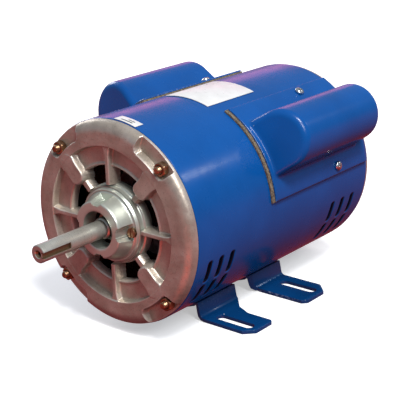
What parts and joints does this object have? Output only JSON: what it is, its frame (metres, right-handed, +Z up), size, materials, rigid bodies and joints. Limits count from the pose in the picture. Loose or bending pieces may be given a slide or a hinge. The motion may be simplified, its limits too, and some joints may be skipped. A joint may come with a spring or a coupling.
{
  "type": "electric motor",
  "caption": "Small single-phase capacitor motor: ventilated blue shell, cast end shields, two capacitor covers, slotted feet and a keyed output shaft.",
  "frame": {"origin": "on the floor plane under the feet, below the shaft axis, at the middle of the overall length", "axes": "+Z up from the feet, +Y along the shaft from the output end to the rear, +X to the run capacitor side"},
  "size_m": [0.2114, 0.3268, 0.1739],
  "materials": {
    "blue_paint": "glossy royal-blue enamel over pressed steel",
    "cast_aluminium": "as-cast aluminium with turned hub rings",
    "lamination_steel": "stacked electrical steel, varnished",
    "enamelled_copper": "varnished enamelled copper wire",
    "yellow_zinc": "yellow zinc plating",
    "ground_steel": "ground bright steel",
    "bearing_balls": "polished bearing steel",
    "rotor_aluminium": "die-cast aluminium",
    "dark_steel": "pressed dark steel",
    "nickel": "nickel plated",
    "capacitor_can": "drawn aluminium can",
    "cork": "cork and rubber sheet",
    "white_plate": "blank white printed foil",
    "black_rubber": "moulded black rubber",
    "brown_laminate": "brown phenolic laminate"
  },
  "bodies": {
    "frame": {"stator_shell": "blue_paint", "front_foot": "blue_paint", "rear_foot": "blue_paint", "right_capacitor_cover": "blue_paint", "left_capacitor_cover": "blue_paint", "front_end_shield": "cast_aluminium", "rear_end_shield": "cast_aluminium", "stator_core": "lamination_steel", "main_coil_1": "enamelled_copper", "start_coil_1": "enamelled_copper", "main_coil_2": "enamelled_copper", "start_coil_2": "enamelled_copper", "main_coil_3": "enamelled_copper", "start_coil_3": "enamelled_copper", "main_coil_4": "enamelled_copper", "start_coil_4": "enamelled_copper", "tie_bolt_1": "yellow_zinc", "tie_bolt_2": "yellow_zinc", "tie_bolt_3": "yellow_zinc", "tie_bolt_4": "yellow_zinc", "tie_bolt_nut_1": "yellow_zinc", "tie_bolt_nut_2": "yellow_zinc", "tie_bolt_nut_3": "yellow_zinc", "tie_bolt_nut_4": "yellow_zinc", "cap_screw_1": "yellow_zinc", "cap_screw_2": "yellow_zinc", "front_bearing_outer_race": "ground_steel", "rear_bearing_outer_race": "ground_steel", "wave_washer": "ground_steel", "bearing_cap": "dark_steel", "right_cover_screw_1": "nickel", "right_cover_screw_2": "nickel", "left_cover_screw_1": "nickel", "left_cover_screw_2": "nickel", "run_capacitor": "capacitor_can", "start_capacitor": "capacitor_can", "right_cover_gasket": "cork", "left_cover_gasket": "cork", "nameplate": "white_plate", "front_label": "white_plate", "lead_grommet": "black_rubber", "switch_board": "brown_laminate"},
    "rotor": {"shaft": "ground_steel", "rotor_core": "lamination_steel", "rotor_cage": "rotor_aluminium", "front_bearing_inner_race": "ground_steel", "rear_bearing_inner_race": "ground_steel", "governor_plate": "dark_steel"},
    "front_ball_set": {"front_bearing_balls": "bearing_balls"},
    "rear_ball_set": {"rear_bearing_balls": "bearing_balls"},
    "spool": {"governor_spool": "brown_laminate"},
    "weight_1": {"governor_weight_1": "dark_steel"},
    "weight_2": {"governor_weight_2": "dark_steel"},
    "switch_lever": {"switch_arm": "dark_steel"}
  },
  "joints": [
    {"name": "rotor_spin", "type": "hinge", "parent": "frame", "child": "rotor", "pos_m": [0, 0.0216, 0.09], "axis": [0, 1, 0], "continuous": true},
    {"name": "front_balls_orbit", "type": "hinge", "parent": "frame", "child": "front_ball_set", "pos_m": [0, -0.0831, 0.09], "axis": [0, 1, 0], "continuous": true},
    {"name": "rear_balls_orbit", "type": "hinge", "parent": "frame", "child": "rear_ball_set", "pos_m": [0, 0.1484, 0.09], "axis": [0, 1, 0], "continuous": true},
    {"name": "spool_slide", "type": "slide", "parent": "rotor", "child": "spool", "axis": [0, -1, 0], "range_m": [0, 0.004], "stiffness_N_per_m": 300, "springref_m": -0.004},
    {"name": "weight_1_swing", "type": "hinge", "parent": "rotor", "child": "weight_1", "pos_m": [0, 0.1076, 0.114], "axis": [-1, 0, 0], "range_deg": [0, 22.2]},
    {"name": "weight_2_swing", "type": "hinge", "parent": "rotor", "child": "weight_2", "pos_m": [0, 0.1076, 0.066], "axis": [1, 0, 0], "range_deg": [0, 22.2]},
    {"name": "switch_arm_swing", "type": "hinge", "parent": "frame", "child": "switch_lever", "pos_m": [0, 0.1316, 0.044], "axis": [1, 0, 0], "range_deg": [0, 8.4]}
  ],
  "couplings": [
    {"joint": "front_balls_orbit", "follows": "rotor_spin", "ratio": 0.42},
    {"joint": "rear_balls_orbit", "follows": "rotor_spin", "ratio": 0.42},
    {"joint": "weight_1_swing", "follows": "spool_slide", "rad_per_m": 96},
    {"joint": "weight_2_swing", "follows": "spool_slide", "rad_per_m": 96},
    {"joint": "switch_arm_swing", "follows": "spool_slide", "rad_per_m": 36}
  ]
}
